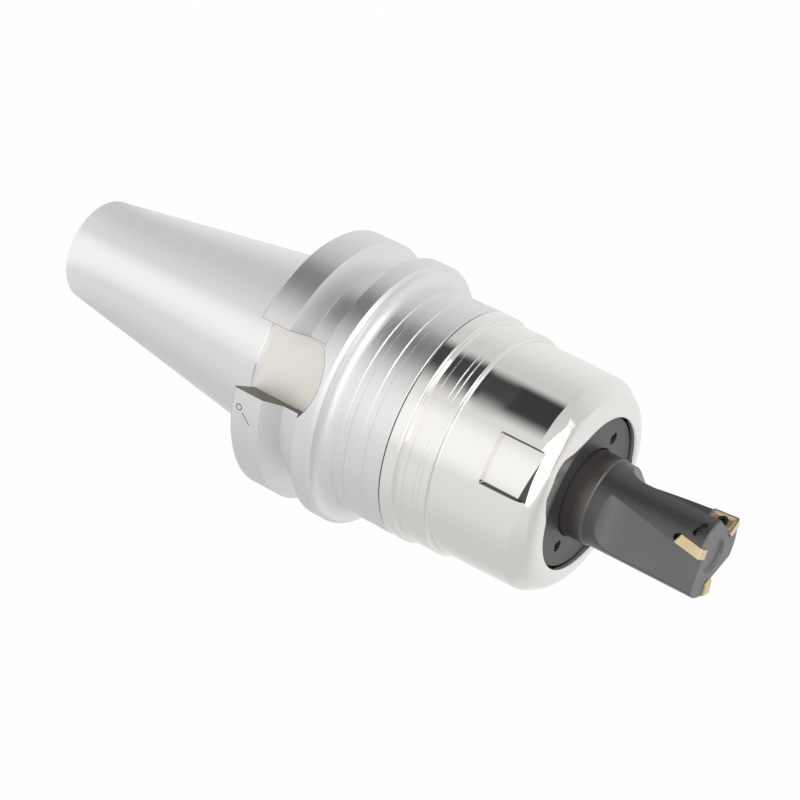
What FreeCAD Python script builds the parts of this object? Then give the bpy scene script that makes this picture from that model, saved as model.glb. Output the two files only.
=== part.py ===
import FreeCAD, Part
import math
import os

Vector = FreeCAD.Vector

# A 50-size milling chuck holding a 32 mm indexable end mill, in millimetres.
# The frame: +Z along the tool axis towards the nose, with the origin on the axis at the gauge
# line of the taper. +X runs through the middle of one drive slot.

# 7:24 taper and flange, the standard 50-size interface
gauge_radius = 34.925
taper_length = 101.8
taper_slope = 7.0 / 48.0
small_end_round = 1.5
taper_relief = 0.35
flange_radius = 50.0
flange_rear_z = 3.0
flange_front_z = 38.0
flange_edge = 1.2
groove_centre_z = 23.2
groove_bottom_radius = 42.5
groove_bottom_width = 6.34
groove_half_angle = 30.0
slot_width = 25.7
slot_floor = 35.4
slot_end_z = 35.3
slot_end_radius = 20.0
pilot_radius = 12.5
pilot_depth = 11.0
stud_hole_radius = 10.4
stud_hole_depth = 52.0
coolant_radius = 5.0

# Outside of the body between the flange and the nut
body_radius = 43.3
body_fillet = 4.5
body_end_z = 63.0
body_edge = 0.3
band_starts = (45.2, 52.9)
band_width = 3.1
band_depth = 0.35

# Clamping barrel, roller track and bore
journal_radius = 37.0
journal_end_z = 72.0
track_start_z = 73.0
track_end_z = 108.2
track_radius = 30.0
track_angle = 2.0
barrel_front_step = 1.0
barrel_end_z = 115.5
bore_radius = 16.0
bore_bottom_z = 16.0
bore_chamfer = 0.8
slit_count = 8
slit_width = 1.2
slit_depth = 3.5
slit_start_z = 58.0
screw_bore_radius = 8.0
screw_bore_end_z = -34.0

# Needle rollers and their cage
roller_radius = 1.5
roller_length = 9.0
roller_rows = 3
roller_pitch = 11.5
roller_first_z = 79.0
rollers_per_row = 18
roller_skew = 1.0
roller_round = 0.3
running_fit = 0.05
cage_gap = 0.65
cage_start_z = 73.9
cage_end_z = 107.4
pocket_gap = 0.15

# Clamping nut
nut_gap = 0.3
rim_end_z = 67.4
rim_round = 1.2
rim_groove_radius = 41.3
rim_groove_end_z = 71.4
ring_radius = 41.9
ring_end_z = 81.2
ring_round = 0.3
ring_lines = (76.2, 78.2)
line_depth = 0.25
sleeve_radius = 40.25
sleeve_fillet = 1.1
wrench_zone_z = 98.2
wrench_zone_angle = 1.6
nose_centre_z = 109.3
nose_round = 11.3
nose_edge_angle = 12.8
nose_gap = 0.6
nose_lip = 0.8
wrench_count = 3
wrench_centre = -5.05
wrench_half_width = 13.35
wrench_depth = 2.0
facet_count = 6
facet_tilt = 48.0
facet_depth = 2.3
nut_journal_end_z = 68.4
nut_undercut_radius = 38.6

# Rings and seals
stop_ring_z = 69.0
stop_ring_thickness = 1.5
stop_ring_inner = 35.2
stop_ring_outer = 38.2
stop_ring_gap = 8.0
stop_ring_groove_radius = 33.6
cage_ring_outer = 32.4
rear_seal_z = 66.0
front_seal_z = 112.6
seal_section = 1.2
seal_squeeze = 0.02

# Face plate and its screws
plate_gap = 0.4
plate_thickness = 3.0
plate_edge = 0.4
plate_bore_gap = 0.15
plate_screw_circle = 20.6
plate_screw_angles = (76.6, 256.6)
plate_screw_head = 2.1
plate_screw_head_depth = 1.9
plate_screw_recess = 0.5
plate_screw_shank = 1.25
plate_screw_length = 9.0
plate_key = 2.0
plate_key_share = 0.6

# Stop screw behind the tool shank
stop_head_radius = 14.6
stop_head_length = 8.0
stop_shank_length = 34.0
stop_gap = 0.3
stop_key = 8.0
stop_key_depth = 6.0
stop_coolant_radius = 2.5
stop_edge = 0.8

# Indexable end mill
shank_clearance = 0.01
shank_end_z = 36.0
shank_chamfer = 0.6
shank_shoulder_z = 126.8
head_radius = 15.5
head_end_z = 169.0
head_edge = 0.5
cutter_coolant_radius = 3.0
cutter_coolant_end_z = 150.0
dish_radius = 6.5
dish_depth = 0.9
teeth = 3
tooth_angle = -1.9
tooth_z = 164.5
axial_rake = 10.0
flute_floor = 10.0
flute_turn = 13.5
flute_start_z = 140.0
flute_end_radius = 9.8
outlet_length = 6.0
outlet_radius = 1.15
outlet_turn = -31.5
outlet_z = 165.3
outlet_lean = 20.0
outlet_depth = 3.0

# Cutting inserts and their screws
insert_length = 10.6
insert_width = 6.5
insert_thickness = 3.4
insert_relief = 11.0
insert_corner = 0.8
insert_reach = 16.0
insert_end_z = 169.8
insert_land = 0.55
insert_dish = 0.25
seat_clearance = 0.02
insert_screw_head = 2.1
insert_screw_neck = 1.3
insert_screw_cone = 1.5
insert_screw_length = 7.5
insert_screw_sink = 0.25
insert_screw_rim = 0.5
insert_key = 1.15
insert_key_depth = 0.9
relief_hole_radius = 1.2

# How far a cut runs past the face it opens, and the size of blocks that reach past the part
past = 5.0
reach = 80.0

nut_start_z = body_end_z + nut_gap
nut_shoulder_z = journal_end_z + nut_gap
plate_front_z = barrel_end_z + plate_thickness
nut_wall_radius = track_radius + 2.0 * roller_radius + 2.0 * running_fit
track_slope = math.tan(math.radians(track_angle))
barrel_front_radius = track_radius - (track_end_z - track_start_z) * track_slope - barrel_front_step
nose_opening = barrel_front_radius + nose_gap
plate_radius = nose_opening - plate_gap
zone_slope = math.tan(math.radians(wrench_zone_angle))
nose_edge_z = nose_centre_z + nose_round * math.sin(math.radians(nose_edge_angle))
nose_edge_radius = sleeve_radius - (nose_edge_z - wrench_zone_z) * zone_slope
nose_centre_radius = nose_edge_radius - nose_round * math.cos(math.radians(nose_edge_angle))
axis = Vector(0, 0, 1)
centre = Vector(0, 0, 0)


def point(radius, z):
    return Vector(radius, 0, z)


def taper_radius(z):
    return gauge_radius + z * taper_slope


def track_at(z):
    return track_radius - (z - track_start_z) * track_slope


def outline(steps):
    # steps are (radius, z) corners; a step of three points is an arc through its first to its last
    edges = []
    last = None
    for step in steps:
        if len(step) == 2:
            here = point(*step)
            if last is not None and last.distanceToPoint(here) > 1e-6:
                edges.append(Part.makeLine(last, here))
        else:
            start, middle, here = [point(*corner) for corner in step]
            if last is not None and last.distanceToPoint(start) > 1e-6:
                edges.append(Part.makeLine(last, start))
            edges.append(Part.Arc(start, middle, here).toShape())
        last = here
    first = edges[0].Vertexes[0].Point
    if last.distanceToPoint(first) > 1e-6:
        edges.append(Part.makeLine(last, first))
    return Part.Wire(edges)


def turned(steps, degrees=360.0):
    return Part.Face(outline(steps)).revolve(centre, axis, degrees)


def quarter(radius, z, size, start, end):
    # arc about the point (radius, z), from one angle to the other, measured from +radius towards +Z
    angles = [math.radians(a) for a in (start, 0.5 * (start + end), end)]
    return tuple((radius + size * math.cos(a), z + size * math.sin(a)) for a in angles)


def ring(inner, outer, low, high):
    return turned([(inner, low), (outer, low), (outer, high), (inner, high)])


def cylinder(radius, low, high):
    return Part.makeCylinder(radius, high - low, Vector(0, 0, low))


def seal(radius, z, section):
    return Part.makeTorus(radius, section, Vector(0, 0, z))


def turn(shape, degrees):
    copy = shape.copy()
    copy.rotate(centre, axis, degrees)
    return copy


def around(shape, count, first=0.0):
    return [turn(shape, first + 360.0 * k / count) for k in range(count)]


def hexagon(across_flats, low, high):
    corners = [Vector(across_flats / math.sqrt(3) * math.cos(math.radians(a)),
                      across_flats / math.sqrt(3) * math.sin(math.radians(a)), low)
               for a in range(0, 420, 60)]
    return Part.Face(Part.makePolygon(corners)).extrude(Vector(0, 0, high - low))


def along(shape, place, direction):
    # move a shape that is built up +Z from the origin so that it starts at a place and points one way
    copy = shape.copy()
    copy.Placement = FreeCAD.Placement(place, FreeCAD.Rotation(axis, direction)).multiply(copy.Placement)
    return copy


def groove_half_width(radius):
    return 0.5 * groove_bottom_width + (radius - groove_bottom_radius) * math.tan(
        math.radians(groove_half_angle))


def body_profile():
    low = -taper_length
    small = taper_radius(low)
    open_half = groove_half_width(flange_radius)
    steps = [
        (pilot_radius, low),
        quarter(small - small_end_round, low + small_end_round, small_end_round, -90.0, 0.0),
        (taper_radius(0.0), 0.0),
        (gauge_radius - taper_relief, taper_relief),
        (gauge_radius - taper_relief, flange_rear_z),
        (flange_radius - flange_edge, flange_rear_z),
        (flange_radius, flange_rear_z + flange_edge),
        (flange_radius, groove_centre_z - open_half),
        (groove_bottom_radius, groove_centre_z - 0.5 * groove_bottom_width),
        (groove_bottom_radius, groove_centre_z + 0.5 * groove_bottom_width),
        (flange_radius, groove_centre_z + open_half),
        (flange_radius, flange_front_z - flange_edge),
        (flange_radius - flange_edge, flange_front_z),
        quarter(body_radius + body_fillet, flange_front_z + body_fillet, body_fillet, -90.0, -180.0),
    ]
    for start in band_starts:
        steps += [
            (body_radius, start),
            (body_radius - band_depth, start + band_depth),
            (body_radius - band_depth, start + band_width - band_depth),
            (body_radius, start + band_width),
        ]
    steps += [
        (body_radius, body_end_z - body_edge),
        (body_radius - body_edge, body_end_z),
        (journal_radius, body_end_z),
        (journal_radius, journal_end_z),
        (track_radius, journal_end_z),
        (track_radius, track_start_z),
        (track_at(track_end_z), track_end_z),
        (barrel_front_radius, track_end_z),
        (barrel_front_radius, barrel_end_z - bore_chamfer),
        (barrel_front_radius - bore_chamfer, barrel_end_z),
        (bore_radius + bore_chamfer, barrel_end_z),
        (bore_radius, barrel_end_z - bore_chamfer),
        (bore_radius, bore_bottom_z),
        (screw_bore_radius, bore_bottom_z),
        (screw_bore_radius, screw_bore_end_z),
        (coolant_radius, screw_bore_end_z),
        (coolant_radius, low + stud_hole_depth),
        (stud_hole_radius, low + stud_hole_depth),
        (stud_hole_radius, low + pilot_depth),
        (pilot_radius, low + pilot_depth),
    ]
    return steps


def drive_slot():
    # flat-floored slot through the rear of the flange, with its front end rounded by the cutter
    half = 0.5 * slot_width
    shoulder = math.sqrt(slot_end_radius ** 2 - half ** 2)
    rear = flange_rear_z - past
    side_z = slot_end_z - slot_end_radius + shoulder
    corners = [Vector(slot_floor, -half, rear), Vector(slot_floor, half, rear),
               Vector(slot_floor, half, side_z), Vector(slot_floor, -half, side_z)]
    arc = Part.Arc(corners[2], Vector(slot_floor, 0, slot_end_z), corners[3]).toShape()
    edges = [Part.makeLine(corners[3], corners[0]), Part.makeLine(corners[0], corners[1]),
             Part.makeLine(corners[1], corners[2]), arc]
    return Part.Face(Part.Wire(edges)).extrude(Vector(flange_radius, 0, 0))


def barrel_slit():
    return Part.makeBox(slit_depth + past, slit_width, barrel_end_z - slit_start_z + past,
                        Vector(bore_radius - past, -0.5 * slit_width, slit_start_z))


def make_body():
    body = turned(body_profile())
    cuts = around(drive_slot(), 2) + around(barrel_slit(), slit_count, 0.5 * 360.0 / slit_count)
    cuts.append(seal(journal_radius - seal_section + running_fit, rear_seal_z, seal_section + seal_squeeze))
    cuts.append(ring(stop_ring_groove_radius, journal_radius + past, stop_ring_z - seal_squeeze,
                     stop_ring_z + stop_ring_thickness + seal_squeeze))
    low = barrel_end_z - plate_screw_length + plate_screw_head_depth + plate_screw_recess
    for angle in plate_screw_angles:
        hole = cylinder(plate_screw_shank + seal_squeeze, low, barrel_end_z + past)
        hole.translate(Vector(plate_screw_circle, 0, 0))
        cuts.append(turn(hole, angle))
    return body.cut(cuts)


def wall_at(z):
    return nut_wall_radius - (z - track_start_z) * track_slope


def nut_profile():
    lip_angle = math.degrees(math.acos((nose_opening + nose_lip - nose_centre_radius) / nose_round))
    lip_z = nose_centre_z + nose_round * math.sin(math.radians(lip_angle)) - nose_lip
    steps = [
        (journal_radius + running_fit, nut_start_z),
        (body_radius - body_edge, nut_start_z),
        (body_radius, nut_start_z + body_edge),
        quarter(body_radius - rim_round, rim_end_z, rim_round, 0.0, 90.0),
        (rim_groove_radius, rim_end_z + rim_round + body_radius - rim_round - rim_groove_radius),
        (rim_groove_radius, rim_groove_end_z),
        (ring_radius, rim_groove_end_z + ring_radius - rim_groove_radius),
    ]
    for z in ring_lines:
        steps += [(ring_radius, z - line_depth), (ring_radius - line_depth, z),
                  (ring_radius, z + line_depth)]
    steps += [
        quarter(ring_radius - ring_round, ring_end_z - ring_round, ring_round, 0.0, 90.0),
        quarter(sleeve_radius + sleeve_fillet, ring_end_z + sleeve_fillet, sleeve_fillet, -90.0, -180.0),
        (sleeve_radius, wrench_zone_z),
        quarter(nose_centre_radius, nose_centre_z, nose_round, nose_edge_angle, lip_angle),
        quarter(nose_opening + nose_lip, lip_z, nose_lip, 90.0, 180.0),
        (nose_opening, track_end_z),
        (wall_at(track_end_z), track_end_z),
        (wall_at(track_start_z), track_start_z),
        (wall_at(track_start_z), nut_shoulder_z),
        (nut_undercut_radius, nut_shoulder_z),
        (nut_undercut_radius, nut_journal_end_z),
        (journal_radius + running_fit, nut_journal_end_z),
    ]
    return steps


def wrench_slot():
    # slot with side walls that point at the axis and a floor that follows the sleeve
    floor = sleeve_radius - wrench_depth
    top = nose_centre_z + nose_round + past
    face = Part.Face(outline([(floor, wrench_zone_z), (sleeve_radius + past, wrench_zone_z),
                              (sleeve_radius + past, top), (floor, top)]))
    return turn(face.revolve(centre, axis, 2.0 * wrench_half_width), -wrench_half_width)


def nose_facet():
    # a flat across the rounded nose: everything beyond a plane that leans towards the front
    tilt = math.radians(facet_tilt)
    normal = Vector(math.cos(tilt), 0, math.sin(tilt))
    middle = point(nose_centre_radius, nose_centre_z) + normal * (nose_round - facet_depth)
    block = Part.makeBox(reach, reach, nose_round, Vector(-0.5 * reach, -0.5 * reach, 0))
    return along(block, middle, normal)


def make_nut():
    nut = turned(nut_profile())
    cuts = around(wrench_slot(), wrench_count, wrench_centre)
    cuts += around(nose_facet(), facet_count, wrench_centre)
    seat = barrel_front_radius + running_fit + seal_section
    cuts.append(seal(seat, front_seal_z, seal_section + seal_squeeze))
    return nut.cut(cuts)


def roller_place(row, number):
    z = roller_first_z + row * roller_pitch
    radius = track_at(z) + (roller_radius + running_fit) / math.cos(math.radians(track_angle))
    angle = 360.0 * (number + 0.5 * (row % 2)) / rollers_per_row
    return radius, z, angle


def roller_at(row, number, length, radius):
    distance, z, angle = roller_place(row, number)
    roller = Part.makeCylinder(radius, length, Vector(0, 0, -0.5 * length))
    roller.rotate(centre, Vector(1, 0, 0), roller_skew)
    roller.rotate(centre, Vector(0, 1, 0), -track_angle)
    roller.translate(Vector(distance, 0, z))
    return turn(roller, angle)


def pocket_at(row, number):
    distance, z, angle = roller_place(row, number)
    wide = 2.0 * (roller_radius + pocket_gap)
    long = roller_length + 2.0 * pocket_gap
    box = Part.makeBox(3.0 * roller_radius, wide, long,
                       Vector(-1.5 * roller_radius, -0.5 * wide, -0.5 * long))
    box.rotate(centre, Vector(1, 0, 0), roller_skew)
    box.rotate(centre, Vector(0, 1, 0), -track_angle)
    box.translate(Vector(distance, 0, z))
    return turn(box, angle)


def places():
    return [(row, number) for row in range(roller_rows) for number in range(rollers_per_row)]


def make_rollers():
    return Part.makeCompound([roller_at(row, number, roller_length, roller_radius)
                              for row, number in places()])


def make_cage():
    outer = 2.0 * (roller_radius + running_fit) - cage_gap
    sleeve = turned([
        (track_at(cage_start_z) + cage_gap, cage_start_z),
        (track_at(cage_start_z) + outer, cage_start_z),
        (track_at(cage_end_z) + outer, cage_end_z),
        (track_at(cage_end_z) + cage_gap, cage_end_z),
    ])
    return sleeve.cut([pocket_at(row, number) for row, number in places()])


def make_stop_ring():
    whole = ring(stop_ring_inner, stop_ring_outer, stop_ring_z, stop_ring_z + stop_ring_thickness)
    opening = Part.makeBox(reach, stop_ring_gap, stop_ring_thickness + 2.0 * past,
                           Vector(0, -0.5 * stop_ring_gap, stop_ring_z - past))
    return whole.cut(turn(opening, 180.0))


def make_cage_ring():
    return ring(track_radius + seal_squeeze, cage_ring_outer, journal_end_z,
                cage_start_z - nut_gap)


def make_plate():
    plate = turned([
        (bore_radius + plate_bore_gap, barrel_end_z),
        (plate_radius, barrel_end_z),
        (plate_radius, plate_front_z - plate_edge),
        (plate_radius - plate_edge, plate_front_z),
        (bore_radius + plate_bore_gap + plate_edge, plate_front_z),
        (bore_radius + plate_bore_gap, plate_front_z - plate_edge),
    ])
    head_floor = plate_front_z - plate_screw_head_depth - plate_screw_recess
    cuts = []
    for angle in plate_screw_angles:
        hole = cylinder(plate_screw_shank + seal_squeeze, barrel_end_z - past, plate_front_z)
        hole = hole.fuse(cylinder(plate_screw_head + seal_squeeze, head_floor, plate_front_z + past))
        hole.translate(Vector(plate_screw_circle, 0, 0))
        cuts.append(turn(hole, angle))
    return plate.cut(cuts)


def make_plate_screw(angle):
    top = plate_front_z - plate_screw_recess
    head_floor = top - plate_screw_head_depth
    low = barrel_end_z - plate_screw_length + plate_screw_head_depth + plate_screw_recess
    screw = cylinder(plate_screw_head, head_floor, top).fuse(cylinder(plate_screw_shank, low, head_floor))
    screw = screw.cut(hexagon(plate_key, top - plate_key_share * plate_screw_head_depth, top + past))
    screw.translate(Vector(plate_screw_circle, 0, 0))
    return turn(screw, angle)


def stop_front_z():
    return shank_end_z - stop_gap


def make_stop_screw():
    front = stop_front_z()
    back = front - stop_head_length
    thread = screw_bore_radius - running_fit
    screw = turned([
        (stop_coolant_radius, back - stop_shank_length),
        (thread - stop_edge, back - stop_shank_length),
        (thread, back - stop_shank_length + stop_edge),
        (thread, back),
        (stop_head_radius - stop_edge, back),
        (stop_head_radius, back + stop_edge),
        (stop_head_radius, front - stop_edge),
        (stop_head_radius - stop_edge, front),
        (stop_coolant_radius, front),
    ])
    socket = hexagon(stop_key, front - stop_key_depth, front + past)
    groove = seal(stop_seal_radius(), front - 0.5 * stop_head_length, seal_section + seal_squeeze)
    return screw.cut([socket, groove])


def stop_seal_radius():
    return bore_radius - running_fit - seal_section


def make_stop_seal():
    return seal(stop_seal_radius(), stop_front_z() - 0.5 * stop_head_length, seal_section)


def tooth_frame():
    # axes of one tooth at angle zero: across the insert, out of its rake face, along its edge
    lean = math.radians(axial_rake)
    across = Vector(1, 0, 0)
    edge = Vector(0, math.sin(lean), math.cos(lean))
    return across, edge.cross(across), edge


def tooth_solid(shape):
    # place a shape built in tooth axes: X across, Y out of the rake face, Z along the edge
    across, out, edge = tooth_frame()
    matrix = FreeCAD.Matrix(across.x, out.x, edge.x, 0,
                            across.y, out.y, edge.y, 0,
                            across.z, out.z, edge.z, tooth_z)
    copy = shape.copy()
    copy.transformShape(matrix)
    return copy


def insert_span():
    # start and end of the insert along its edge, measured from the tooth's centre
    end = (insert_end_z - tooth_z) / math.cos(math.radians(axial_rake))
    return end - insert_length, end


def rounded_rectangle(low_x, high_x, low_z, high_z, corner, y):
    def spot(x, z):
        return Vector(x, y, z)
    bend = corner * (1.0 - math.sqrt(0.5))
    edges = [
        Part.makeLine(spot(low_x + corner, low_z), spot(high_x - corner, low_z)),
        Part.Arc(spot(high_x - corner, low_z), spot(high_x - bend, low_z + bend),
                 spot(high_x, low_z + corner)).toShape(),
        Part.makeLine(spot(high_x, low_z + corner), spot(high_x, high_z - corner)),
        Part.Arc(spot(high_x, high_z - corner), spot(high_x - bend, high_z - bend),
                 spot(high_x - corner, high_z)).toShape(),
        Part.makeLine(spot(high_x - corner, high_z), spot(low_x + corner, high_z)),
        Part.Arc(spot(low_x + corner, high_z), spot(low_x + bend, high_z - bend),
                 spot(low_x, high_z - corner)).toShape(),
        Part.makeLine(spot(low_x, high_z - corner), spot(low_x, low_z + corner)),
        Part.Arc(spot(low_x, low_z + corner), spot(low_x + bend, low_z + bend),
                 spot(low_x + corner, low_z)).toShape(),
    ]
    return Part.Wire(edges)


def insert_screw_place():
    low, high = insert_span()
    return Vector(insert_reach - 0.5 * insert_width, 0, 0.5 * (low + high))


def make_insert():
    low, high = insert_span()
    inner = insert_reach - insert_width
    inset = insert_thickness * math.tan(math.radians(insert_relief))
    top = rounded_rectangle(inner, insert_reach, low, high, insert_corner, 0.0)
    base = rounded_rectangle(inner + inset, insert_reach - inset, low + inset, high - inset,
                             insert_corner, -insert_thickness)
    insert = Part.makeLoft([base, top], True, True)
    land = insert_land
    rim = rounded_rectangle(inner + land, insert_reach - land, low + land, high - land,
                            insert_corner, 0.0)
    floor = rounded_rectangle(inner + 3.0 * land, insert_reach - 3.0 * land, low + 3.0 * land,
                              high - 3.0 * land, insert_corner, -insert_dish)
    dish = Part.makeLoft([floor, rim], True, True)
    screw_hole = make_screw_blank(seat_clearance)
    return tooth_solid(insert.cut([dish, screw_hole]))


def make_screw_blank(extra):
    # screw along -Y: a short head, a cone and the shank, grown by a clearance
    place = insert_screw_place()
    head_low = -insert_screw_sink - insert_screw_rim
    cone_low = head_low - insert_screw_cone
    head = insert_screw_head + extra
    neck = insert_screw_neck + extra
    profile = [(0.0, -insert_screw_length - extra), (neck, -insert_screw_length - extra),
               (neck, cone_low), (head, head_low)]
    if extra > 0:
        profile += [(head, past), (0.0, past)]
    else:
        profile += [(head, -insert_screw_sink), (0.0, -insert_screw_sink)]
    return along(turned(profile), place, Vector(0, 1, 0))


def make_insert_screw():
    place = insert_screw_place()
    key = hexagon(2.0 * insert_key, -insert_screw_sink - insert_key_depth, past)
    return tooth_solid(make_screw_blank(0.0).cut(along(key, place, Vector(0, 1, 0))))


def flute():
    # flat-floored chip space: it runs out on a cutter radius behind and stops at the rake plane
    run = math.sqrt(flute_end_radius ** 2 - (flute_end_radius - 0.5 * head_radius) ** 2)
    top = flute_floor + 0.5 * head_radius
    bend = math.radians(0.5 * math.degrees(math.asin(run / flute_end_radius)))
    middle = (flute_floor + flute_end_radius * (1.0 - math.cos(bend)),
              flute_start_z - flute_end_radius * math.sin(bend))
    beyond = head_end_z + past
    section = Part.Face(outline([
        ((top, flute_start_z - run), middle, (flute_floor, flute_start_z)),
        (flute_floor, beyond),
        (top + past, beyond),
        (top + past, flute_start_z - run),
    ]))
    section.translate(Vector(0, -0.5 * reach, 0))
    channel = turn(section.extrude(Vector(0, reach, 0)), flute_turn)
    ahead = tooth_solid(Part.makeBox(2.0 * reach, reach, 2.0 * reach, Vector(-reach, 0, -reach)))
    return channel.common(ahead)


def insert_seat():
    low, high = insert_span()
    inner = insert_reach - insert_width
    gap = seat_clearance
    pocket = Part.makeBox(insert_width + past, insert_thickness + gap, high - low + past,
                          Vector(inner - gap, -insert_thickness - gap, low - gap))
    corner = along(Part.makeCylinder(relief_hole_radius, insert_width + past),
                   Vector(inner, -0.5 * insert_thickness, low), Vector(1, 0, 0))
    return tooth_solid(pocket.fuse([corner, make_screw_blank(gap)]))


def coolant_outlet():
    long = 0.5 * outlet_length - outlet_radius
    depth = outlet_depth + past
    slot = Part.makeBox(depth, 2.0 * long, 2.0 * outlet_radius, Vector(0, -long, -outlet_radius))
    for side in (-long, long):
        slot = slot.fuse(Part.makeCylinder(outlet_radius, depth, Vector(0, side, 0), Vector(1, 0, 0)))
    slot.rotate(centre, Vector(1, 0, 0), -outlet_lean)
    slot.translate(Vector(head_radius - outlet_depth, 0, outlet_z))
    return turn(slot, outlet_turn)


def make_cutter():
    shank = bore_radius - shank_clearance
    cutter = turned([
        (cutter_coolant_radius, shank_end_z),
        (shank - shank_chamfer, shank_end_z),
        (shank, shank_end_z + shank_chamfer),
        (shank, shank_shoulder_z),
        (head_radius, shank_shoulder_z + shank_chamfer),
        (head_radius, head_end_z - head_edge),
        (head_radius - head_edge, head_end_z),
        (dish_radius, head_end_z),
        (dish_radius - dish_depth, head_end_z - dish_depth),
        (0.0, head_end_z - dish_depth),
        (0.0, cutter_coolant_end_z),
        (cutter_coolant_radius, cutter_coolant_end_z - cutter_coolant_radius),
    ])
    cuts = []
    for shape in (flute(), insert_seat(), coolant_outlet()):
        cuts += around(shape, teeth, tooth_angle)
    return cutter.cut(cuts)


def save(name, shape):
    solids = shape.Solids
    if not solids or not all(solid.isValid() for solid in solids):
        raise ValueError(name + " is not a valid solid")
    kept = shape if len(solids) > 1 else solids[0]
    kept.exportStep(os.path.join("parts", name + ".step"))
    box = kept.BoundBox
    print("%-20s %3d solid(s) %9.1f mm3  z %7.2f to %7.2f" % (
        name, len(solids), sum(solid.Volume for solid in solids), box.ZMin, box.ZMax))


def main():
    os.makedirs("parts", exist_ok=True)
    save("chuck_body", make_body())
    save("clamping_nut", make_nut())
    save("roller_cage", make_cage())
    save("needle_rollers", make_rollers())
    save("nut_stop_ring", make_stop_ring())
    save("cage_stop_ring", make_cage_ring())
    save("rear_seal_ring", seal(journal_radius - seal_section + running_fit - seal_squeeze,
                                rear_seal_z, seal_section))
    save("front_seal_ring", seal(barrel_front_radius + running_fit + seal_section,
                                 front_seal_z, seal_section))
    save("face_plate", make_plate())
    for number, angle in enumerate(plate_screw_angles, 1):
        save("face_plate_screw_%d" % number, make_plate_screw(angle))
    save("stop_screw", make_stop_screw())
    save("stop_screw_seal", make_stop_seal())
    save("cutter_body", make_cutter())
    for number, insert in enumerate(around(make_insert(), teeth, tooth_angle), 1):
        save("cutting_insert_%d" % number, insert)
    for number, screw in enumerate(around(make_insert_screw(), teeth, tooth_angle), 1):
        save("insert_screw_%d" % number, screw)


main()
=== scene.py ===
import math

import bpy
from mathutils import Matrix, Vector


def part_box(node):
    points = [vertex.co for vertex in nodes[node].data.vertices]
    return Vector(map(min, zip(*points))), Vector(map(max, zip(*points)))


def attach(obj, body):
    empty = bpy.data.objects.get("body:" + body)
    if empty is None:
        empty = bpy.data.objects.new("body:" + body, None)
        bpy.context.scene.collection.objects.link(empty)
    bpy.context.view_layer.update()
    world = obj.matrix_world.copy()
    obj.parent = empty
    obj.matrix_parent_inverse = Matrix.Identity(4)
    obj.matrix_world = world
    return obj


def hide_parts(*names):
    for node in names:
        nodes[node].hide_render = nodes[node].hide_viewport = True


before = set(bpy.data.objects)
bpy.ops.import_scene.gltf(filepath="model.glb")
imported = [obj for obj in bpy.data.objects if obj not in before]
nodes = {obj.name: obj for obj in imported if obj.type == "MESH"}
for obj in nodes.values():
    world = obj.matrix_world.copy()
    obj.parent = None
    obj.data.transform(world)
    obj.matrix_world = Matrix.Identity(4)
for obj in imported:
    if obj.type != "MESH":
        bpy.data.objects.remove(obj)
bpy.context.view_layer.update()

mm = 0.001
print("frame loaded:", len(nodes), "nodes")


# Camera, set against the taper and the flange

camera = {
    "place": (0.72338, -0.13254, 0.40103),
    "right": (-0.46810, -0.36957, 0.80270),
    "up": (0.03262, -0.91497, -0.40220),
    "back": (0.88309, -0.16208, 0.44033),
    "lens": 104.15,
    "sensor": 36.0,
    "near": 0.01,
    "far": 50.0,
}


def makeCamera():
    data = bpy.data.cameras.new("studioCamera")
    data.lens = camera["lens"]
    data.sensor_width = camera["sensor"]
    data.clip_start = camera["near"]
    data.clip_end = camera["far"]
    obj = bpy.data.objects.new("studioCamera", data)
    bpy.context.collection.objects.link(obj)
    turn = Matrix((camera["right"], camera["up"], camera["back"])).transposed()
    obj.matrix_world = Matrix.Translation(camera["place"]) @ turn.to_4x4()
    bpy.context.scene.camera = obj


makeCamera()
print("camera placed")


# A small shader language: an expression on wires adds the Math nodes that work it out

class Wire:
    def __init__(self, tree, socket):
        self.tree = tree
        self.socket = socket

    def join(self, kind, first, second):
        return addNode(self.tree, "ShaderNodeMath", {0: first, 1: second}, operation=kind)

    def __add__(self, other):
        return self.join("ADD", self, other)

    def __radd__(self, other):
        return self.join("ADD", other, self)

    def __sub__(self, other):
        return self.join("SUBTRACT", self, other)

    def __rsub__(self, other):
        return self.join("SUBTRACT", other, self)

    def __mul__(self, other):
        return self.join("MULTIPLY", self, other)

    def __truediv__(self, other):
        return self.join("DIVIDE", self, other)

    def __pow__(self, other):
        return self.join("POWER", self, other)

    def __gt__(self, other):
        return self.join("GREATER_THAN", self, other)

    def __lt__(self, other):
        return self.join("LESS_THAN", self, other)

    def __abs__(self):
        return addNode(self.tree, "ShaderNodeMath", {0: self}, operation="ABSOLUTE")

    def angleTo(self, other):
        # azimuth of the direction (self, other) in radians
        return self.join("ARCTAN2", other, self)

    def wrap(self, low, high):
        return addNode(self.tree, "ShaderNodeMath", {0: self, 1: high, 2: low}, operation="WRAP")

    def smooth(self, low, high):
        ends = {"Value": self, "From Min": low, "From Max": high, "To Min": 0.0, "To Max": 1.0}
        return addNode(self.tree, "ShaderNodeMapRange", ends,
                       interpolation_type="SMOOTHSTEP", clamp=True)

    def step(self, at, edge):
        return self.smooth(at - edge, at + edge)

    def clipped(self):
        return self.smooth(0.0, 1.0)


def addNode(tree, kind, inputs=None, output=0, **settings):
    node = tree.nodes.new(kind)
    for name, value in settings.items():
        setattr(node, name, value)
    for key, value in (inputs or {}).items():
        if isinstance(value, Wire):
            tree.links.new(value.socket, node.inputs[key])
        else:
            node.inputs[key].default_value = value
    return Wire(tree, node.outputs[output])


def splitPlace(tree, place):
    return [addNode(tree, "ShaderNodeSeparateXYZ", {0: place}, axis) for axis in range(3)]


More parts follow.
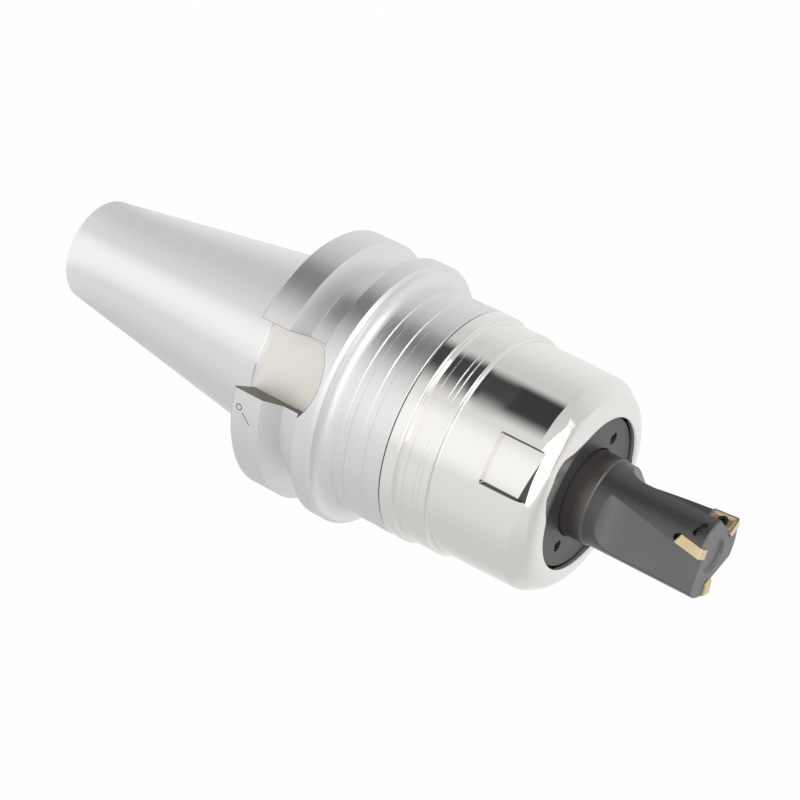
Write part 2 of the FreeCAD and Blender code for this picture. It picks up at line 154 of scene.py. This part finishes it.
def mixColour(factor, first, second):
    node = factor.tree.nodes.new("ShaderNodeMix")
    node.data_type = "RGBA"
    for index, value in ((0, factor), (6, first), (7, second)):
        if isinstance(value, Wire):
            factor.tree.links.new(value.socket, node.inputs[index])
        else:
            node.inputs[index].default_value = (*value, 1.0)
    return Wire(factor.tree, node.outputs[2])


class Finish:
    # One material with its shader and its object coordinates
    def __init__(self, name, metallic):
        self.material = bpy.data.materials.new(name)
        self.material.use_nodes = True
        self.tree = self.material.node_tree
        self.shader = self.tree.nodes["Principled BSDF"]
        self.shader.inputs["Metallic"].default_value = metallic
        self.place = addNode(self.tree, "ShaderNodeTexCoord", output="Object")
        self.x, self.y, self.z = splitPlace(self.tree, self.place)

    def set(self, socket, wire):
        self.tree.links.new(wire.socket, self.shader.inputs[socket])

    def noise(self, stretch, scale):
        # noise on the object's own coordinates, squeezed or stretched along each axis
        where = addNode(self.tree, "ShaderNodeMapping", {"Vector": self.place, "Scale": stretch})
        return addNode(self.tree, "ShaderNodeTexNoise",
                       {"Vector": where, "Scale": scale, "Detail": 3.0, "Roughness": 0.5})

    def rings(self, pitch):
        # fine lines round the tool axis, from noise that is read along the axis only
        where = addNode(self.tree, "ShaderNodeCombineXYZ", {"Z": self.z * (1.0 / pitch)})
        return addNode(self.tree, "ShaderNodeTexNoise",
                       {"Vector": where, "Scale": 1.0, "Detail": 2.0})

    def radius(self):
        return (self.x * self.x + self.y * self.y) ** 0.5

    def bump(self, height, relief, depth, edge=0.0):
        # relief, with sharp edges rounded in the shading where edge gives a radius
        inputs = {"Height": height, "Strength": relief, "Distance": depth}
        if edge:
            inputs["Normal"] = addNode(self.tree, "ShaderNodeBevel", {"Radius": edge}, samples=4)
        self.set("Normal", addNode(self.tree, "ShaderNodeBump", inputs))


def coat(obj, material):
    obj.data.materials.clear()
    obj.data.materials.append(material)


# Clamping nut, turned from one outline, with wrench pockets and shallow lenses on the nose.
# Points are (radius, z), arcs are (radius, z, size, first angle, last angle, steps), in
# millimetres and degrees.

nut = {
    "steps": 264,
    "rear": [(37.05, 63.3), (43.0, 63.3), (43.3, 63.6)],
    "rim": (42.1, 67.4, 1.2, 0.0, 90.0, 14),
    "groove": [(41.3, 69.4), (41.3, 71.4), (41.9, 72.0)],
    "lines": [76.2, 78.2],
    "lineDepth": 0.25,
    "shoulder": (41.6, 80.9, 0.3, 0.0, 90.0, 12),
    "fillet": (41.35, 82.3, 1.1, -90.0, -180.0, 14),
    "sleeve": 40.25,
    "sleeveRows": [86.0, 90.0, 94.0],
    "nose": (28.851, 109.3, 11.3, 12.8, 88.38, 36),
    "lip": (29.171, 119.796, 0.8, 90.0, 180.0, 12),
    "inside": [(28.371, 113.85), (30.26, 113.85), (30.26, 111.35), (28.371, 111.35),
               (28.371, 108.2), (31.871, 108.2), (33.1, 73.0), (33.1, 72.3), (38.6, 72.3),
               (38.6, 68.4), (37.05, 68.4)],
    "pockets": 3,
    "pocketAt": -5.05,
    "pocketHalf": 13.35,
    "pocketFloor": 38.25,
    "pocketRear": 98.2,
    "pocketPast": (48.0, 126.0),
    "pocketSteps": 36,
    "facets": 8,
    "facetSteps": 180,
    "facetPast": 2.0,
    "facetWall": 9.0,
    "rearFacet": {"at": -35.3, "from": (39.87, 111.8), "to": (37.95, 116.0), "bow": 44.5},
    "frontFacet": {"at": -12.8, "from": (39.455, 113.2), "to": (35.8, 118.2), "bow": 45.6},
    "weld": 0.000002,
    "smoothBelow": 8.0,
}


def arcPoints(arc):
    radius, z, size, start, end, steps = arc
    angles = [math.radians(start + (end - start) * k / steps) for k in range(steps + 1)]
    return [(radius + size * math.cos(a), z + size * math.sin(a)) for a in angles]


def nutOutline():
    points = nut["rear"] + arcPoints(nut["rim"]) + nut["groove"]
    ring = nut["shoulder"][0] + nut["shoulder"][2]
    deep = nut["lineDepth"]
    for z in nut["lines"]:
        points += [(ring, z - deep), (ring - deep, z), (ring, z + deep)]
    points += arcPoints(nut["shoulder"]) + arcPoints(nut["fillet"])
    points += [(nut["sleeve"], z) for z in nut["sleeveRows"] + [nut["pocketRear"]]]
    return points + arcPoints(nut["nose"]) + arcPoints(nut["lip"]) + nut["inside"]


def spin(name, outline, steps, sweep=360.0, away=(0.0, 0.0), start=0.0):
    # a closed outline of (radius, z) in millimetres, spun round an upright axis
    bpy.ops.object.select_all(action="DESELECT")
    filled = "NOTHING" if sweep == 360.0 else "NGON"
    bpy.ops.mesh.primitive_circle_add(vertices=len(outline), fill_type=filled)
    piece = bpy.context.object
    piece.name = name
    cos, sin = math.cos(math.radians(start)), math.sin(math.radians(start))
    for vertex, (radius, z) in zip(piece.data.vertices, outline):
        vertex.co = ((away[0] + radius * cos) * mm, (away[1] + radius * sin) * mm, z * mm)
    bpy.ops.object.mode_set(mode="EDIT")
    bpy.ops.mesh.select_all(action="SELECT")
    bpy.ops.mesh.spin(steps=steps, angle=math.radians(sweep), axis=(0.0, 0.0, 1.0),
                      center=(away[0] * mm, away[1] * mm, 0.0))
    bpy.ops.mesh.select_all(action="SELECT")
    bpy.ops.mesh.remove_doubles(threshold=nut["weld"])
    bpy.ops.mesh.normals_make_consistent(inside=False)
    bpy.ops.object.mode_set(mode="OBJECT")
    return piece


def pick(piece):
    bpy.ops.object.select_all(action="DESELECT")
    piece.select_set(True)
    bpy.context.view_layer.objects.active = piece


def cutAway(piece, cutter):
    pick(piece)
    bpy.ops.object.modifier_add(type="BOOLEAN")
    step = piece.modifiers[-1]
    step.operation = "DIFFERENCE"
    step.solver = "EXACT"
    step.object = cutter
    bpy.ops.object.modifier_apply(modifier=step.name)
    bpy.data.objects.remove(cutter)


def facetCutter(spec, number):
    # a ring on an axis beside the nut's, so that it takes a shallow lens off the nose
    angle = math.radians(spec["at"] + 360.0 * number / nut["facets"])
    (rearRadius, rearZ), (frontRadius, frontZ) = spec["from"], spec["to"]
    shift = spec["bow"] - 0.5 * (rearRadius + frontRadius)
    slope = (frontRadius - rearRadius) / (frontZ - rearZ)
    low, high = rearZ - nut["facetPast"], frontZ + nut["facetPast"]
    inner = [(rearRadius + shift + slope * (z - rearZ), z) for z in (low, high)]
    outer = spec["bow"] + nut["facetWall"]
    outline = [inner[0], (outer, low), (outer, high), inner[1]]
    away = (-shift * math.cos(angle), -shift * math.sin(angle))
    return spin("facetCutter", outline, nut["facetSteps"], away=away)


def pocketCutter(number):
    # the spin runs clockwise, so it starts at the pocket's far side
    floor, rear, (wide, front) = nut["pocketFloor"], nut["pocketRear"], nut["pocketPast"]
    outline = [(floor, rear), (wide, rear), (wide, front), (floor, front)]
    middle = nut["pocketAt"] + 360.0 * number / nut["pockets"]
    return spin("pocketCutter", outline, nut["pocketSteps"], 2.0 * nut["pocketHalf"],
                start=middle + nut["pocketHalf"])


def makeNut():
    piece = spin("nutShell", nutOutline(), nut["steps"])
    for number in range(nut["facets"]):
        cutAway(piece, facetCutter(nut["rearFacet"], number))
        cutAway(piece, facetCutter(nut["frontFacet"], number))
    for number in range(nut["pockets"]):
        cutAway(piece, pocketCutter(number))
    pick(piece)
    bpy.ops.object.shade_smooth_by_angle(angle=math.radians(nut["smoothBelow"]))
    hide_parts("clamping_nut")
    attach(piece, "nut")
    print("nut shell has", len(piece.data.polygons), "faces")
    return piece


nutShell = makeNut()


# Steel of the chuck body: ground taper below the gauge line, fine turned above it, milled slots

steel = {
    "colour": (0.835, 0.835, 0.835), "warm": (0.865, 0.86, 0.85), "taperEnd": 0.0008,
    "warmTaper": 0.7, "warmCloud": 0.25, "warmBand": 0.5,
    "lines": 0.0006, "bands": 0.0045,
    "cloud": ((1.0, 1.0, 0.35), 60.0), "grain": ((1.0, 4.0, 1.0), 260.0),
    "turned": 0.36, "turnedLines": 0.05, "turnedBand": 0.10,
    "ground": 0.20, "groundCloud": 0.05,
    "milled": 0.46, "milledGrain": 0.12, "shadeShare": 0.9, "shadeRough": 0.2,
    "lineHeight": 0.6, "bandHeight": 0.5, "taperCalm": 0.8, "markHeight": 2.0,
    "relief": 0.05, "depth": 0.00003, "edge": 0.00022,
}

# slot colours: the milled floor's own warm tone, and the painted shade of the walls and outlines
slot = {
    "floor": (0.86, 0.825, 0.775), "wallShade": (0.20, 0.185, 0.17),
    "floorAt": 0.0354, "floorThick": 0.00004, "half": 0.01285, "line": 0.00013,
    "rear": 0.0004, "front": 0.0353, "past": 0.0004, "below": 0.0002,
    "bowRadius": 0.020, "bowFrom": 0.008, "sideEnd": 0.0306,
}

indexMark = {
    "angle": 22.5, "z": 0.0070, "ring": 0.0011, "stroke": 0.0002, "from": 0.0022, "to": 0.0072,
    "lean": 44.0, "ink": (0.16, 0.15, 0.14), "flange": 0.050, "below": 0.0002,
}


def slotMasks(finish):
    # the milled floor of both drive slots, and the painted shade on the walls and the thin lines
    # round it
    far, off, z = abs(finish.x), abs(finish.y), finish.z
    inFlange = (z < slot["front"] + slot["past"]) * (z > slot["rear"])
    floor = (abs(far - slot["floorAt"]) < slot["floorThick"]) * (off < slot["half"]) * inFlange
    fromFloor = far > slot["floorAt"] - slot["below"]
    side = (abs(off - slot["half"]) < slot["line"]) * fromFloor
    side = side * (z < slot["sideEnd"]) * (z > slot["rear"])
    rise = z - (slot["front"] - slot["bowRadius"])
    reach = (finish.y * finish.y + rise * rise) ** 0.5
    bow = (abs(reach - slot["bowRadius"]) < slot["line"]) * (off < slot["half"]) * fromFloor
    bow = bow * (rise > slot["bowFrom"])
    return floor, (side + bow).clipped()


def markMask(finish):
    # index mark on the rear lip: a small ring with a stroke
    flange = indexMark["flange"]
    off = finish.x.angleTo(finish.y) * flange - math.radians(indexMark["angle"]) * flange
    up = finish.z - indexMark["z"]
    cos, sin = [turn(math.radians(indexMark["lean"])) for turn in (math.cos, math.sin)]
    reach = (off * off + up * up) ** 0.5
    circle = abs(reach - indexMark["ring"]) < indexMark["stroke"]
    forward = off * cos + up * sin
    across = abs(up * cos - off * sin)
    stroke = (forward > indexMark["from"]) * (forward < indexMark["to"])
    stroke = stroke * (across < indexMark["stroke"])
    return (circle + stroke).clipped() * (finish.radius() > flange - indexMark["below"])


def makeBodySteel():
    finish = Finish("groundSteel", 1.0)
    taper = finish.z.smooth(steel["taperEnd"], 0.0)
    lines = finish.rings(steel["lines"])
    broad = finish.rings(steel["bands"])
    cloud = finish.noise(*steel["cloud"])
    grain = finish.noise(*steel["grain"])
    floor, dark = slotMasks(finish)
    mark = markMask(finish)
    band = (broad - 0.5) * (1.0 - taper)

    warm = taper * steel["warmTaper"] + cloud * steel["warmCloud"] + band * steel["warmBand"]
    tone = mixColour(warm, steel["colour"], steel["warm"])
    tone = mixColour(floor, tone, slot["floor"])
    # painted shade darkens the slot walls and the lines round the slots
    tone = mixColour(dark * steel["shadeShare"], tone, slot["wallShade"])
    finish.set("Base Color", mixColour(mark, tone, indexMark["ink"]))

    turned = steel["turned"] + lines * steel["turnedLines"] + band * steel["turnedBand"]
    ground = steel["ground"] + cloud * steel["groundCloud"]
    milled = steel["milled"] + grain * steel["milledGrain"]
    rough = turned * (1.0 - taper) + ground * taper
    rough = rough * (1.0 - floor) + milled * floor + dark * steel["shadeRough"]
    finish.set("Roughness", rough)

    height = lines * steel["lineHeight"] + broad * steel["bandHeight"]
    height = height * (1.0 - taper * steel["taperCalm"])
    height = height + grain * floor - mark * steel["markHeight"]
    finish.bump(height, steel["relief"], steel["depth"], steel["edge"])
    return finish.material


# Polished nut: painted shade darkens the side walls of its pockets, and a wedge at the front of
# each pocket's floor

chrome = {
    "colour": (0.90, 0.885, 0.855), "shade": (0.86, 0.845, 0.81), "wallShade": (0.10, 0.095, 0.09),
    "cloud": ((1.0, 1.0, 0.5), 45.0), "lines": 0.0011,
    "gloss": 0.04, "glossCloud": 0.03, "wallRough": 0.3,
    "wallAt": 0.039, "line": 0.00016, "wallFrom": 0.0002, "wallEnd": 0.1143,
    "wedgeFrom": -11.5, "wedgeTurn": 22.3, "wedgeEnd": 0.1152, "wedgeWidth": 0.0024,
    "floorThick": 0.00006,
    "cloudHeight": 0.5, "relief": 0.03, "depth": 0.00002, "edge": 0.00018,
}


# painted shade: dark lines on the pockets' side walls and a dark wedge at the front of each
# pocket's floor
def pocketShade(finish):
    share = math.radians(360.0 / nut["pockets"])
    half = math.radians(nut["pocketHalf"])
    azimuth = finish.x.angleTo(finish.y) - math.radians(nut["pocketAt"])
    turn = azimuth.wrap(-0.5 * share, 0.5 * share)
    off = abs(abs(turn) - half) * chrome["wallAt"]
    wallShade = (off < chrome["line"]) * (finish.z < chrome["wallEnd"])
    wallShade = wallShade * (finish.z > nut["pocketRear"] * mm + chrome["wallFrom"])
    lead = turn - math.radians(chrome["wedgeFrom"])
    width = lead * (chrome["wedgeWidth"] / math.radians(chrome["wedgeTurn"]))
    onFloor = abs(finish.radius() - nut["pocketFloor"] * mm) < chrome["floorThick"]
    wedge = (finish.z > chrome["wedgeEnd"] - width) * (lead > 0.0) * (abs(turn) < half) * onFloor
    return (wallShade + wedge).clipped()


def makeNutChrome():
    finish = Finish("polishedNut", 1.0)
    cloud = finish.noise(*chrome["cloud"])
    # dark is the painted shade in the pockets, mixed into the base colour below
    dark = pocketShade(finish)
    tone = mixColour(cloud, chrome["colour"], chrome["shade"])
    finish.set("Base Color", mixColour(dark, tone, chrome["wallShade"]))
    gloss = chrome["gloss"] + cloud * chrome["glossCloud"] + dark * chrome["wallRough"]
    finish.set("Roughness", gloss)
    height = finish.rings(chrome["lines"]) + cloud * chrome["cloudHeight"]
    finish.bump(height, chrome["relief"], chrome["depth"], chrome["edge"])
    return finish.material


# Cutter: browned shank behind the seam, grey head in front of it, with painted shade darkening
# the head's outer cylinder

tool = {
    "shank": (0.175, 0.160, 0.147), "head": (0.20, 0.20, 0.205), "round": (0.115, 0.115, 0.118),
    "dust": (0.14, 0.135, 0.13), "dustCloud": 0.25, "dustGrain": 0.2,
    "seam": 0.1268, "seamWidth": 0.0004, "roundFrom": 0.0152, "roundFull": 0.01535,
    "grain": ((1.0, 1.0, 0.3), 700.0), "cloud": ((1.0, 1.0, 1.0), 70.0), "lines": 0.0005,
    "rough": 0.28, "roughGrain": 0.10, "roughHead": 0.06,
    "grainHeight": 0.7, "lineHeight": 0.5, "relief": 0.10, "depth": 0.00003, "edge": 0.00025,
}


def makeToolSteel():
    finish = Finish("toolSteel", 0.85)
    head = finish.z.smooth(tool["seam"], tool["seam"] + tool["seamWidth"])
    # painted shade: the head's outer cylinder takes the darker round colour
    outer = finish.radius().smooth(tool["roundFrom"], tool["roundFull"])
    grain = finish.noise(*tool["grain"])
    cloud = finish.noise(*tool["cloud"])
    tone = mixColour(outer, tool["head"], tool["round"])
    tone = mixColour(head, tool["shank"], tone)
    dust = cloud * tool["dustCloud"] + grain * tool["dustGrain"]
    finish.set("Base Color", mixColour(dust, tone, tool["dust"]))
    rough = tool["rough"] + grain * tool["roughGrain"] + head * tool["roughHead"]
    finish.set("Roughness", rough)
    height = grain * tool["grainHeight"] + finish.rings(tool["lines"]) * tool["lineHeight"]
    finish.bump(height, tool["relief"], tool["depth"], tool["edge"])
    return finish.material


# Grained finishes: two colours mixed by fine grain and broad cloud

grained = {
    "darkPlate": {
        "colours": ((0.075, 0.075, 0.08), (0.13, 0.13, 0.135)), "metallic": 0.75, "rough": 0.32,
        "grain": 900.0, "grainShare": 0.5, "cloud": 80.0, "cloudShare": 0.3,
        "roughGrain": 0.12, "relief": 0.10, "depth": 0.00003},
    "coatedCarbide": {
        "colours": ((0.68, 0.51, 0.26), (0.82, 0.70, 0.47)), "metallic": 0.9, "rough": 0.26,
        "grain": 1500.0, "grainShare": 0.0, "cloud": 160.0, "cloudShare": 1.0,
        "roughGrain": 0.12, "relief": 0.08, "depth": 0.00002},
    "blackScrew": {
        "colours": ((0.035, 0.035, 0.036), (0.06, 0.06, 0.06)), "metallic": 0.6, "rough": 0.30,
        "grain": 900.0},
    "rollerSteel": {
        "colours": ((0.74, 0.74, 0.75), (0.80, 0.80, 0.80)), "metallic": 1.0, "rough": 0.12,
        "grain": 300.0},
    "springSteel": {
        "colours": ((0.42, 0.42, 0.43), (0.50, 0.50, 0.50)), "metallic": 1.0, "rough": 0.28,
        "grain": 300.0},
    "cageBrass": {
        "colours": ((0.68, 0.52, 0.24), (0.74, 0.60, 0.32)), "metallic": 1.0, "rough": 0.25,
        "grain": 300.0},
    "sealRubber": {
        "colours": ((0.018, 0.018, 0.018), (0.03, 0.03, 0.03)), "metallic": 0.0, "rough": 0.55,
        "grain": 1200.0},
}

plainGrain = {"grainShare": 1.0, "cloudShare": 0.0, "roughGrain": 0.1, "relief": 0.06,
              "depth": 0.00002}


def makeGrained(name):
    spec = {**plainGrain, **grained[name]}
    finish = Finish(name, spec["metallic"])
    grain = finish.noise((1.0, 1.0, 1.0), spec["grain"])
    mixed = grain * spec["grainShare"]
    if spec["cloudShare"]:
        mixed = mixed + finish.noise((1.0, 1.0, 1.0), spec["cloud"]) * spec["cloudShare"]
    finish.set("Base Color", mixColour(mixed, *spec["colours"]))
    finish.set("Roughness", spec["rough"] + grain * spec["roughGrain"])
    finish.bump(grain, spec["relief"], spec["depth"])
    return finish.material


materials = {name: makeGrained(name) for name in grained}
materials["groundSteel"] = makeBodySteel()
materials["polishedNut"] = makeNutChrome()
materials["toolSteel"] = makeToolSteel()

finishOf = {
    "chuck_body": "groundSteel",
    "clamping_nut": "polishedNut",
    "roller_cage": "cageBrass",
    "needle_rollers": "rollerSteel",
    "nut_stop_ring": "springSteel",
    "cage_stop_ring": "springSteel",
    "rear_seal_ring": "sealRubber",
    "front_seal_ring": "sealRubber",
    "face_plate": "darkPlate",
    "face_plate_screw_1": "blackScrew",
    "face_plate_screw_2": "blackScrew",
    "stop_screw": "springSteel",
    "stop_screw_seal": "sealRubber",
    "cutter_body": "toolSteel",
    "cutting_insert_1": "coatedCarbide",
    "cutting_insert_2": "coatedCarbide",
    "cutting_insert_3": "coatedCarbide",
    "insert_screw_1": "blackScrew",
    "insert_screw_2": "blackScrew",
    "insert_screw_3": "blackScrew",
}

for name, obj in nodes.items():
    coat(obj, materials[finishOf[name]])
coat(nutShell, materials["polishedNut"])
print("finishes set")


# Light tent: a pale room and floor with soft bright bands round the tool axis. A dark gap lies on
# the floor, in two parts that meet at splitAt, and a bright panel stands in the room over the
# nose. Angles in degrees, distances in metres.

room = {
    "level": 0.66,
    "lobes": [
        {"at": 2.0, "width": 30.0, "lift": 0.22},
        {"at": 10.0, "width": 85.0, "lift": 0.17},
        {"at": -165.0, "width": 80.0, "lift": 0.22},
    ],
    "gapNear": (-84.0, -70.0, -56.0, -28.0),
    "gapFar": (-83.0, -72.0, -50.0, -32.0),
    "depthNear": 0.94,
    "depthFar": 0.93,
    "splitAt": 0.48,
    "splitEdge": 0.008,
    "paler": 0.035,
    "palerFrom": 0.37,
    "palerTo": 0.50,
    "clearWithin": 0.17,
    "edge": 0.02,
    "panel": {"at": -24.0, "wide": 62.0, "low": 27.0, "high": 62.0, "lift": 0.42, "side": 3.0,
              "edge": 0.02},
    "floorSize": 6.0,
    "floorBelow": 0.0002,
    "floorPaint": 0.85,
    "floorGlow": 0.96,
}

white = (1.0, 1.0, 1.0, 1.0)


def floorGap(azimuth, reach):
    # how dark the floor is: clear under the taper, slightly paler halfway out
    def between(stops):
        first, second, third, last = [math.radians(stop) for stop in stops]
        return azimuth.smooth(first, second) * (1.0 - azimuth.smooth(third, last))

    far = reach.step(room["splitAt"], room["splitEdge"])
    dark = between(room["gapFar"]) * far * room["depthFar"]
    dark = dark + between(room["gapNear"]) * (1.0 - far) * room["depthNear"]
    halfway = reach.step(room["palerFrom"], room["edge"])
    halfway = halfway * (1.0 - reach.step(room["palerTo"], room["edge"]))
    dark = dark * (1.0 - halfway * room["paler"])
    return dark * reach.step(room["clearWithin"], room["edge"])


def brightPanel(azimuth, z):
    panel = room["panel"]
    off = abs(azimuth - math.radians(panel["at"]))
    side = off.smooth(math.radians(panel["wide"] - panel["side"]), math.radians(panel["wide"]))
    low, high = [math.sin(math.radians(panel[key])) for key in ("low", "high")]
    upright = z.step(low, panel["edge"]) * (1.0 - z.step(high, panel["edge"]))
    return (1.0 - side) * upright * panel["lift"]


def bandsRound(tree, place, onFloor):
    # brightness against the direction round the tool axis
    x, y, z = splitPlace(tree, place)
    reach = (x * x + y * y) ** 0.5
    azimuth = x.angleTo(y)
    level = room["level"]
    for lobe in room["lobes"]:
        angle = math.radians(lobe["at"])
        near = (x * math.cos(angle) + y * math.sin(angle)) / reach
        level = near.smooth(math.cos(math.radians(lobe["width"])), 1.0) * lobe["lift"] + level
    if onFloor:
        return level * (1.0 - floorGap(azimuth, reach))
    return level + brightPanel(azimuth, z)


def shownAs(tree, level):
    # white to the camera, level to every other ray
    camera = addNode(tree, "ShaderNodeLightPath", output="Is Camera Ray")
    return camera, camera + (1.0 - camera) * level


def makeWorld():
    world = bpy.data.worlds.new("lightTent")
    world.use_nodes = True
    bpy.context.scene.world = world
    tree = world.node_tree
    tree.nodes.clear()
    place = addNode(tree, "ShaderNodeTexCoord", output="Generated")
    strength = shownAs(tree, bandsRound(tree, place, False))[1]
    tent = addNode(tree, "ShaderNodeBackground", {"Color": white, "Strength": strength})
    tree.links.new(tent.socket, tree.nodes.new("ShaderNodeOutputWorld").inputs[0])


def makeFloor():
    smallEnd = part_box("chuck_body")[0][2]
    bpy.ops.object.select_all(action="DESELECT")
    bpy.ops.mesh.primitive_plane_add(size=room["floorSize"],
                                     location=(0.0, 0.0, smallEnd - room["floorBelow"]))
    floor = bpy.context.object
    floor.name = "floor"
    material = bpy.data.materials.new("paleFloor")
    material.use_nodes = True
    tree = material.node_tree
    tree.nodes.clear()
    place = addNode(tree, "ShaderNodeTexCoord", output="Object")
    camera, strength = shownAs(tree, bandsRound(tree, place, True))
    glossy = addNode(tree, "ShaderNodeLightPath", output="Is Glossy Ray")
    glow = addNode(tree, "ShaderNodeEmission", {"Color": white, "Strength": strength})
    paint = (room["floorPaint"], room["floorPaint"], room["floorPaint"], 1.0)
    matt = addNode(tree, "ShaderNodeBsdfDiffuse", {"Color": paint})
    factor = camera * room["floorGlow"] + glossy
    mixed = addNode(tree, "ShaderNodeMixShader", {0: factor, 1: matt, 2: glow})
    tree.links.new(mixed.socket, tree.nodes.new("ShaderNodeOutputMaterial").inputs[0])
    floor.data.materials.append(material)


lamp = {"place": (0.55, -0.75, 0.9), "aim": (0.0, 0.0, 0.05), "size": 0.6, "power": 2.0}


def makeLamp():
    data = bpy.data.lights.new("softTop", "AREA")
    data.size = lamp["size"]
    data.energy = lamp["power"]
    obj = bpy.data.objects.new("softTop", data)
    bpy.context.collection.objects.link(obj)
    turn = (Vector(lamp["place"]) - Vector(lamp["aim"])).to_track_quat("Z", "Y")
    obj.matrix_world = Matrix.Translation(lamp["place"]) @ turn.to_matrix().to_4x4()


makeWorld()
makeFloor()
makeLamp()
print("room and lamp ready")

bpy.context.scene.view_settings.view_transform = "Standard"
